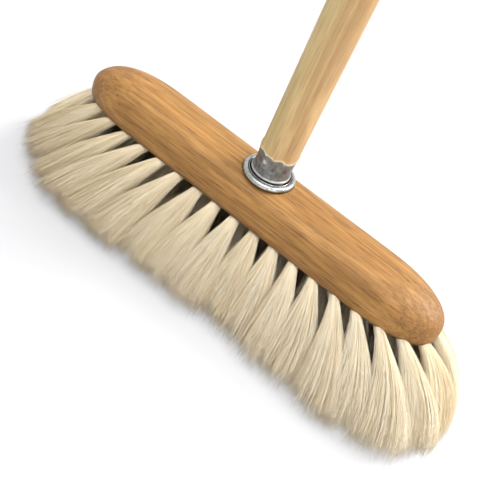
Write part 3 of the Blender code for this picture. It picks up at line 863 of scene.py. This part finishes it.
def build_ferrule(material):
    """Sheet-metal ferrule: threaded sleeve, bead and dented skirt with a ragged edge."""
    skirt_top = BEAD_TOP_Z + FERRULE_SKIRT_HEIGHT
    half_sheet = SHEET_THICKNESS / 2
    skirt = levels(BEAD_TOP_Z + half_sheet, skirt_top - half_sheet, 22)
    profile = [(FERRULE_THREAD_RADIUS, z) for z in levels(FERRULE_BOTTOM_Z, CONE_BOTTOM_Z, 50)]
    profile += arc(SKIRT_RADIUS, BEAD_Z, FERRULE_BEAD_RADIUS, -90, 90, 12)
    profile += [(SKIRT_RADIUS, z) for z in skirt]
    profile += [(SKIRT_RADIUS - half_sheet, skirt_top)]
    profile += [(SKIRT_INNER_RADIUS, z) for z in reversed(skirt)]
    profile += [
        (SKIRT_INNER_RADIUS, BEAD_Z),
        (FERRULE_INNER_RADIUS, CONE_BOTTOM_Z),
        (FERRULE_INNER_RADIUS, FERRULE_BOTTOM_Z),
    ]
    bm = spun_sleeve(profile, 200)
    roll_thread(bm, FERRULE_THREAD_RADIUS, FERRULE_BOTTOM_Z, CONE_BOTTOM_Z, -1)
    wear_and_highlight, painted_shade_values = [], []
    for vert in bm.verts:
        rise = (vert.co.z - BEAD_TOP_Z) / FERRULE_SKIRT_HEIGHT
        if rise > 0:
            bright = dent_skirt(vert, atan2(vert.co.y, vert.co.x), rise)
        else:
            # Painted highlight along the bead
            bright = 0.75 * max(0.0, 1 - abs(vert.co.z - BEAD_Z) / FERRULE_BEAD_RADIUS)
        wear_and_highlight.append(min(1.0, bright))
        # Painted shade on the cone below the bead, which sits in the socket's mouth
        painted_shade_values.append(0.9 if CONE_BOTTOM_Z < vert.co.z < CONE_TOP_Z else 0.0)
    mesh = mesh_from_bmesh("ferrule_shell", bm)
    set_point_values(mesh, "wear_and_highlight", wear_and_highlight)
    set_point_values(mesh, "painted_shade", painted_shade_values)
    finish_mesh(
        "ferrule_shell", mesh, material, "ferrule", ["ferrule"], 60
    )


# The stick

def stick_rings():
    """Kind, radius and height of the stick's rings, from its top down.

    The heights of rim and lip rings are measured from the ferrule's ragged edge.
    """
    end_z = STICK_TOP_Z - STICK_END_ROUNDING
    top = arc(STICK_RADIUS - STICK_END_ROUNDING, end_z, STICK_END_ROUNDING, 90, 0, 14)
    rings = [("plain", radius, height) for radius, height in top[1:]]
    shaft = levels(CROWN_Z + 0.030, end_z - 0.02, 60)
    rings += [("plain", STICK_RADIUS, height) for height in reversed(shaft)]
    rings += [
        ("rim", STICK_RADIUS, rise)
        for rise in (0.0070, 0.0045, 0.0030, 0.0020, 0.0013, 0.0008, 0.0004)
    ]
    return rings + [
        ("lip", STICK_RADIUS - 0.0001, 0.0001),
        ("lip", TENON_RADIUS + 0.0002, -0.0002),
        ("plain", TENON_RADIUS, BEAD_TOP_Z + 0.0060),
        ("plain", TENON_RADIUS, BEAD_Z + FIT_GAP),
        ("plain", CORE_RADIUS, CONE_BOTTOM_Z + FIT_GAP),
        ("plain", CORE_RADIUS, STICK_BOTTOM_Z + STICK_CHAMFER),
        ("plain", CORE_RADIUS - STICK_CHAMFER, STICK_BOTTOM_Z),
    ]


def build_stick(material):
    """Turned stick whose lower rim bulges, pale and torn, over the ferrule's edge; the pale colour
    there is partly a painted highlight.
    """
    steps = 96
    bm = bmesh.new()
    pole = bm.verts.new((0, 0, STICK_TOP_Z))
    rows = []
    rim = [0.0]
    for kind, radius, height in stick_rings():
        row = []
        for i in range(steps):
            around = (i + 0.5) / steps * tau - pi
            here, z, torn_and_highlight = radius, height, 0.0
            if kind != "plain":
                torn = noise.noise(Vector((degrees(around) * 0.22, 3.0, height * 400)))
                z = CROWN_Z + edge_height(around) + FIT_GAP + height
                flare = SPIKE_FLARE * spike_weight(around) * 0.3
                near = max(0.0, 1 - abs(height - 0.0006) / 0.0016)
                here += flare * near + near * (0.00028 + 0.00022 * torn)
                # How torn and pale the rim is; the pale colour is partly a painted highlight
                torn_and_highlight = max(0.0, min(1.0, 1.15 - height / 0.0012 + torn * 0.5))
            rim.append(torn_and_highlight)
            row.append(bm.verts.new((here * cos(around), here * sin(around), z)))
        rows.append(row)
    for i in range(steps):
        bm.faces.new((pole, rows[0][i], rows[0][(i + 1) % steps]))
    bridge(bm, rows)
    bm.faces.new(rows[-1])
    mesh = mesh_from_bmesh("stick_body", bm)
    set_point_values(mesh, "rim", rim)
    finish_mesh(
        "stick_body", mesh, material, "ferrule", ["handle_stick"], 50
    )


# The hair

def tuft_plan():
    """Place, hole axis, row direction and tip of every tuft, as in the parts' source."""
    half_length = BLOCK_LENGTH / 2 - OUTER_ROW_INSET
    half_width = BLOCK_WIDTH / 2 - OUTER_ROW_INSET
    end_length = BLOCK_END_LENGTH - OUTER_ROW_INSET
    roots, _ = oval_stations(OUTER_TUFTS, half_length, half_width, end_length, PLAN_FULLNESS)
    tips, tip_pitch = oval_stations(
        OUTER_TUFTS, half_length + END_FLARE - END_DRAW, half_width + SIDE_FLARE + SIDE_PUSH,
        SKIRT_END_LENGTH, SKIRT_FULLNESS,
    )
    underside = Vector((0, 0, HAIR_HEIGHT))
    plan = []
    for number, ((root, along), (tip, tip_along)) in enumerate(zip(roots, tips), start=1):
        outward = (tip - root).normalized()
        plan.append(SimpleNamespace(
            name=f"outer_tuft_{number:02d}",
            root=root + underside,
            axis=outward * sin(HOLE_TILT) + Vector((0, 0, -cos(HOLE_TILT))),
            outward=outward,
            along=along,
            tip=tip,
            tip_along=tip_along,
            pitch=tip_pitch,
            **OUTER_BUNDLE,
            **{key: float(np.interp(number, *zip(*table))) for key, table in CHANGES.items()},
        ))
    row_pitch = 2 * INNER_ROW_HALF_LENGTH / (INNER_TUFTS - 1)
    stretch = 1 + INNER_END_FLARE / INNER_ROW_HALF_LENGTH
    for number in range(INNER_TUFTS):
        side = 1 if number % 2 else -1
        root = Vector((number * row_pitch - INNER_ROW_HALF_LENGTH, side * INNER_ROW_OFFSET, 0))
        plan.append(SimpleNamespace(
            name=f"inner_tuft_{number + 1:02d}",
            root=root + underside,
            axis=Vector((0, 0, -1)),
            outward=Vector((0, side, 0)),
            along=Vector((1, 0, 0)),
            tip=Vector((root.x * stretch, root.y + side * INNER_SIDE_FLARE, 0)),
            tip_along=Vector((1, 0, 0)),
            pitch=row_pitch * stretch * INNER_OVERLAP,
            **INNER_BUNDLE,
        ))
    return plan


def unit(vectors):
    """The vectors at length 1."""
    return vectors / np.linalg.norm(vectors, axis=-1, keepdims=True)


def spiral(count, start, reach=1.0):
    """Even places in a disc, one after another like the seeds of a sunflower."""
    number = np.arange(count)
    turn = number * GOLDEN_ANGLE + start
    ring = np.sqrt((number + 0.5) / count) * reach
    return np.stack([ring * np.cos(turn), ring * np.sin(turn)], 1)


def nearest_place(disc, places, blur, rng):
    """Which of the places is nearest to each point of the disc, give or take a blur."""
    apart = np.linalg.norm(disc[:, None] - places[None], axis=2)
    return np.argmin(apart + rng.normal(0, blur, apart.shape), axis=1)


def square_of(disc):
    """Spread points of a unit disc evenly over the square around it."""
    x, y = disc[:, 0], disc[:, 1]
    root = 2 * sqrt(2)
    over = 2 + x * x - y * y
    across = 2 - x * x + y * y
    u = np.sqrt(np.maximum(over + root * x, 0)) - np.sqrt(np.maximum(over - root * x, 0))
    v = np.sqrt(np.maximum(across + root * y, 0)) - np.sqrt(np.maximum(across - root * y, 0))
    return np.stack([u, v], 1) / 2


def middle_line(tuft, s, rng):
    """The tuft's middle line at s, and the directions along the row and outward there."""
    root, axis, outward, along, tip, tip_along = (
        np.array(part)
        for part in (tuft.root, tuft.axis, tuft.outward, tuft.along, tuft.tip, tuft.tip_along)
    )
    root = root - axis * ROOT_SEAT
    reach = TIP_REACH + rng.normal(0, REACH_SCATTER)
    tip = tip + outward * (reach + tuft.reach)
    tip = tip + tip_along * rng.normal(0, SLIDE_SCATTER) + TIP_LEAN
    tip = tip - np.array((tuft.slide, 0, 0))
    endward = tuft.outward.x
    out = BEND_OUT + END_BEND * endward * abs(endward)
    down = BEND_DOWN - END_DROP * max(0.0, endward) ** 2
    bend = root + (tip - root) * np.array([out, out, down]) + BEND_LEAN
    line = (1 - s) ** 2 * root + 2 * s * (1 - s) * bend + s ** 2 * tip
    slope = unit(2 * (1 - s) * (bend - root) + 2 * s * (tip - bend))
    side = unit((1 - s) * along + s * tip_along)
    lift = unit(np.cross(slope, side))
    lift = lift * np.where((lift * outward).sum(-1, keepdims=True) < 0, -1, 1)
    return line, side, lift


def keep_in_limits(path, low):
    """Keep hairs off the floor and within HAIR_LIMIT across the head."""
    path[..., 2] = np.maximum(path[..., 2], low)
    across = np.abs(path[..., 1])
    room = HAIR_LIMIT - HAIR_KNEE
    slowed = HAIR_KNEE + room * np.tanh(np.maximum(across - HAIR_KNEE, 0) / room)
    path[..., 1] = np.copysign(np.minimum(across, slowed), path[..., 1])


def tuft_paths(tuft, rng):
    """Middle lines, radii, tones and runs of all the hairs of one tuft.

    The hairs fill a round bundle in the hole, fan out to the neighbours, cling together
    in fine wisps, lean together in wider locks and droop to the floor. A point's run is
    how far along the tuft it lies.
    """
    count = tuft.hairs
    disc = spiral(count, rng.uniform(0, ANY_TURN) + GOLDEN_ANGLE / 2)
    disc = disc + rng.normal(0, BUNDLE_SCATTER, disc.shape)
    disc = disc / np.maximum(np.linalg.norm(disc, axis=1, keepdims=True), 1.0)
    square = square_of(disc)
    locks = spiral(LOCKS, rng.uniform(0, ANY_TURN), LOCK_REACH)
    lock = nearest_place(disc, locks, LOCK_BLUR, rng)
    wisps = spiral(WISPS, rng.uniform(0, ANY_TURN))
    wisps = wisps + rng.normal(0, WISP_BLUR, wisps.shape)
    wisp = nearest_place(disc, wisps, WISP_BLUR, rng)

    luck = rng.random(count)
    stray = luck < STRAY_SHARE
    looseness = np.select([luck < FLYAWAY_SHARE, stray], [4.6, 2.2], 1.0)[:, None]
    length = 1 - HAIR_LACK * rng.random(count) ** 3 - GROUP_LACK * rng.random(LOCKS)[lock]
    length = length - GROUP_LACK * rng.random(WISPS)[wisp] ** 2
    length = np.where(stray, STRAY_LENGTH - STRAY_LACK * rng.random(count), length)
    share = np.linspace(0, 1, HAIR_POINTS)[None] ** 0.9
    run = share * length[:, None]
    s = run[..., None]
    line, side, lift = middle_line(tuft, s, rng)

    neck = ROOT_RADIUS * tuft.neck
    full_row = tuft.pitch * ROW_SHARE * tuft.spread * rng.normal(1, WIDTH_SCATTER)
    half_row = np.interp(
        run, (0, 0.06, 0.5, 0.75, 1.1),
        (neck, neck * 1.12, full_row * 0.72, full_row * 0.91, full_row * 1.16),
    )
    half_depth = neck + (tuft.depth - neck) * run ** 0.9

    boxed = SQUARENESS * np.clip(run * 1.4, 0, 1)[..., None]
    spot = disc[:, None] * (1 - boxed) + square[:, None] * boxed
    boxed = boxed[:1]
    wisp_spot = wisps[:, None] * (1 - boxed) + square_of(wisps)[:, None] * boxed
    hold = np.where(stray, 0.2, 1.0)[:, None, None]
    pull = WISP_PULL * hold * np.clip(s * 1.6, 0, 1)
    spot = spot * (1 - pull) + wisp_spot[wisp] * pull
    pull = LOCK_PULL * s ** 1.5
    spot = spot * (1 - pull) + locks[lock][:, None] * pull
    spot = spot + rng.normal(0, LOCK_DRIFT, (LOCKS, 2))[lock][:, None] * s ** 2
    drift = rng.normal(0, HAIR_DRIFT, (count, 2)) * looseness
    spot = spot + drift[:, None] * s
    phase = rng.uniform(0, ANY_TURN, (count, 2))
    pace = rng.uniform(*WAVE_PACE, (count, 2))
    size = rng.gamma(2.0, WAVE_SIZE, (count, 2)) * np.where(stray, 2.5, 1.0)[:, None]
    wave = np.sin(phase[:, None] + pace[:, None] * s) - np.sin(phase)[:, None]
    spot = spot + wave * size[:, None] * s

    path = line + side * (spot[..., :1] * half_row[..., None])
    path = path + lift * (spot[..., 1:] * half_depth[..., None])
    keep_in_limits(path, FLOOR_REST + rng.random(count)[:, None] * FLOOR_SCATTER)

    girth = HAIR_RADIUS * (0.75 + 0.5 * rng.random(count))[:, None]
    girth = girth * np.where(stray, 0.70, 1.0)[:, None]
    thin = np.interp(share[0], (0, 0.4, 0.8, 1.0), (0.95, 1.0, 0.8, 0.35))[None]
    # Each tuft's added tone is painted light and painted shade
    tone = rng.beta(2.4, 1.6, count) * 0.40 + rng.random(LOCKS)[lock] * 0.20 + tuft.paler
    tone = tone + rng.random(WISPS)[wisp] * 0.40
    return path, girth * thin, np.clip(tone, 0, 1), run


def hair_mesh(name, path, radius, tone, run, along):
    """One mesh of closed three-sided tapering hairs that end in a point."""
    count, points, _ = path.shape
    rings = points - 1
    slope = unit(np.gradient(path, axis=1) + 1e-12)
    first = unit(np.cross(slope, np.array(along)))
    second = np.cross(slope, first)
    corners = []
    for k in range(3):
        angle = tau * k / 3
        offset = first * cos(angle) + second * sin(angle)
        corners.append(path[:, :rings] + offset[:, :rings] * radius[:, :rings, None])
    ring_points = np.stack(corners, axis=2).reshape(count, rings * 3, 3)
    verts = np.concatenate([ring_points, path[:, -1:]], axis=1).reshape(-1, 3)

    per_hair = rings * 3 + 1
    base = (np.arange(count) * per_hair)[:, None, None]
    level = np.arange(rings - 1)[:, None] * 3
    k = np.arange(3)[None]
    after = (k + 1) % 3
    quads = np.stack([level + k, level + after, level + 3 + after, level + 3 + k], axis=-1)
    last = (rings - 1) * 3
    ends = [[last + i, last + (i + 1) % 3, per_hair - 1] for i in range(3)] + [[2, 1, 0]]
    quad_verts = (base + quads.reshape(-1, 4)[None]).reshape(-1, 4)
    end_verts = (base + np.array(ends)[None]).reshape(-1, 3)

    mesh = bpy.data.meshes.new(name)
    mesh.vertices.add(len(verts))
    mesh.vertices.foreach_set("co", verts.astype(np.float32).ravel())
    loop_verts = np.concatenate([quad_verts.ravel(), end_verts.ravel()])
    mesh.loops.add(len(loop_verts))
    mesh.loops.foreach_set("vertex_index", loop_verts.astype(np.int32))
    starts = np.concatenate(
        [np.arange(len(quad_verts)) * 4, len(quad_verts) * 4 + np.arange(len(end_verts)) * 3]
    )
    mesh.polygons.add(len(starts))
    mesh.polygons.foreach_set("loop_start", starts.astype(np.int32))
    mesh.update(calc_edges=True)
    point_run = np.concatenate([np.repeat(run[:, :rings], 3, axis=1), run[:, -1:]], axis=1).ravel()
    point_tone = np.repeat(tone, per_hair)
    set_point_values(mesh, "run", point_run)
    set_point_values(mesh, "tone", point_tone)
    map_by_tone(mesh, loop_verts, point_tone, point_run, len(quad_verts) * 4)
    return mesh


def map_by_tone(mesh, loop_verts, tone, run, quad_loops):
    """Lay every hair in the column of its tone, upright, so that like hairs share pixels.

    After the quads' corners come four triangles to a hair, three at its tip, one at its root.
    """
    end_loops = len(loop_verts) - quad_loops
    column = np.floor(np.clip(tone[loop_verts], 0, 0.999) * TONE_COLUMNS)
    across = np.concatenate([
        np.tile((0.25, 0.75, 0.75, 0.25), quad_loops // 4),
        np.tile((0.25, 0.75, 0.5), end_loops // 3),
    ])
    up = 0.01 + 0.94 * np.clip(run[loop_verts] / 1.05, 0, 1)
    up[quad_loops:] += np.tile((0.0,) * 11 + (0.008,), end_loops // 12)
    layer = mesh.uv_layers.new(name="OFBake")
    spots = np.stack([(column + across) / TONE_COLUMNS, up], axis=1)
    layer.data.foreach_set("uv", spots.astype(np.float32).ravel())


def build_hair(tufts, material):
    """One piece of hair for each tuft, drawn from a seed of its own."""
    for number, tuft in enumerate(tufts):
        rng = np.random.default_rng(FIRST_SEED + number)
        name = tuft.name + "_hair"
        mesh = hair_mesh(name, *tuft_paths(tuft, rng), tuft.along)
        finish_mesh(name, mesh, material, "head", [tuft.name])


# Camera, floor and light

def build_camera():
    """Camera whose view of the block and the stick matches the photograph's."""
    back = Vector((
        sin(CAMERA_AZIMUTH) * cos(CAMERA_ELEVATION),
        -cos(CAMERA_AZIMUTH) * cos(CAMERA_ELEVATION),
        sin(CAMERA_ELEVATION),
    ))
    ahead = -back
    right = ahead.cross(Vector((0, 0, 1))).normalized()
    up = right.cross(ahead)
    rolled = cos(CAMERA_ROLL), sin(CAMERA_ROLL)
    right, up = right * rolled[0] + up * rolled[1], up * rolled[0] - right * rolled[1]
    middle = IMAGE_SIZE / 2
    aim = Vector((
        (AIM_PIXEL[0] - middle) / FOCAL_PIXELS, (middle - AIM_PIXEL[1]) / FOCAL_PIXELS, 1,
    )).normalized()
    swing = Vector((0, 0, 1)).rotation_difference(aim).to_matrix()
    axes = swing @ Matrix((right, up, ahead))
    turn = Matrix((axes[0], axes[1], -axes[2])).transposed().to_4x4()
    data = bpy.data.cameras.new("camera")
    data.sensor_width = SENSOR_WIDTH
    data.lens = FOCAL_PIXELS / IMAGE_SIZE * SENSOR_WIDTH
    data.clip_start = 0.01
    camera = add_object("camera", data)
    place = Vector((0, 0, HAIR_HEIGHT)) + back * CAMERA_DISTANCE
    camera.matrix_world = Matrix.Translation(place) @ turn
    bpy.context.scene.camera = camera


def seen_directly(tree):
    """1 on camera, glossy and transmission rays, and 0 on rays that light the object."""
    path = node(tree, "LightPath").outputs
    shown = arithmetic(tree, "MAXIMUM", path["Is Camera Ray"], path["Is Glossy Ray"])
    return arithmetic(tree, "MAXIMUM", shown, path["Is Transmission Ray"])


def build_floor():
    """Pale floor that keeps the object's shadow, with a white glow where it is seen: painted light
    that grows to the right and is left out under the hair.
    """
    mesh = bpy.data.meshes.new("floor")
    corners = [(-1, -1), (1, -1), (1, 1), (-1, 1)]
    mesh.from_pydata([(x * FLOOR_HALF, y * FLOOR_HALF, 0) for x, y in corners], [], [(0, 1, 2, 3)])
    material, tree, shader = new_material("pale_floor")
    seen = seen_directly(tree)
    fill(tree, shader, {
        "Base Color": mix(tree, seen, FLOOR_LIT, FLOOR_SEEN),
        "Roughness": 0.9, "Specular IOR Level": 0.1,
    })
    place = object_place(tree)
    oval = scaled(tree, place, (1 / SHADED_OVAL[0], 1 / SHADED_OVAL[1], 1))
    reach = node(tree, "VectorMath", {0: oval}, operation="LENGTH").outputs["Value"]
    clear = fade(tree, reach, *SHADED_FADE, kind="LINEAR")
    # Painted light: the glow grows from left to right
    level = fade(tree, part_of(tree, place, "X"), *GLOW_SPAN, *FLOOR_GLOW, kind="LINEAR")
    painted_glow = times(tree, seen, times(tree, clear, level))
    glow = node(tree, "Emission", {"Color": WHITE, "Strength": painted_glow})
    both = node(tree, "AddShader", {0: shader.outputs["BSDF"], 1: glow.outputs["Emission"]})
    fill(tree, tree.nodes["Material Output"], {"Surface": both.outputs["Shader"]})
    mesh.materials.append(material)
    floor = add_object("floor", mesh)


def build_sky():
    """A white sky that lights the object a little less than it shows."""
    world = bpy.data.worlds.new("world")
    world.use_nodes = True
    bpy.context.scene.world = world
    tree = world.node_tree
    shown = times(tree, seen_directly(tree), 1 - SKY_LIGHT)
    strength = arithmetic(tree, "ADD", shown, SKY_LIGHT)
    fill(tree, tree.nodes["Background"], {"Color": WHITE, "Strength": strength})


def add_lamp(name, kind, source, power, **settings):
    """A lamp of this kind and power that shines towards the middle from source."""
    data = bpy.data.lights.new(name, kind)
    data.energy = power
    for key, value in settings.items():
        setattr(data, key, value)
    lamp = add_object(name, data)
    lamp.rotation_mode = "QUATERNION"
    lamp.rotation_quaternion = Vector(source).to_track_quat("Z", "Y")
    return lamp


def build_stage():
    """Floor, sky, two soft suns and a weak lamp at the near end."""
    build_floor()
    build_sky()
    for name, source, spread, strength, tint in SUNS:
        add_lamp(name, "SUN", source, strength, angle=radians(spread), color=tint)
    source = Vector(LAMP_PLACE) - Vector((0, 0, HAIR_HEIGHT))
    lamp = add_lamp("right_lamp", "AREA", source, LAMP_POWER, shape="DISK", size=LAMP_SIZE)
    lamp.location = LAMP_PLACE
    lamp.visible_camera = False


def main():
    """Build the picture and every piece of the object."""
    bpy.context.scene.view_settings.view_transform = "Standard"
    build_camera()
    build_stage()
    tufts = tuft_plan()
    build_block(block_material(), tufts)
    build_socket(bright_steel_material())
    build_ferrule(galvanised_material())
    build_stick(stick_material())
    build_hair(tufts, hair_material())


main()
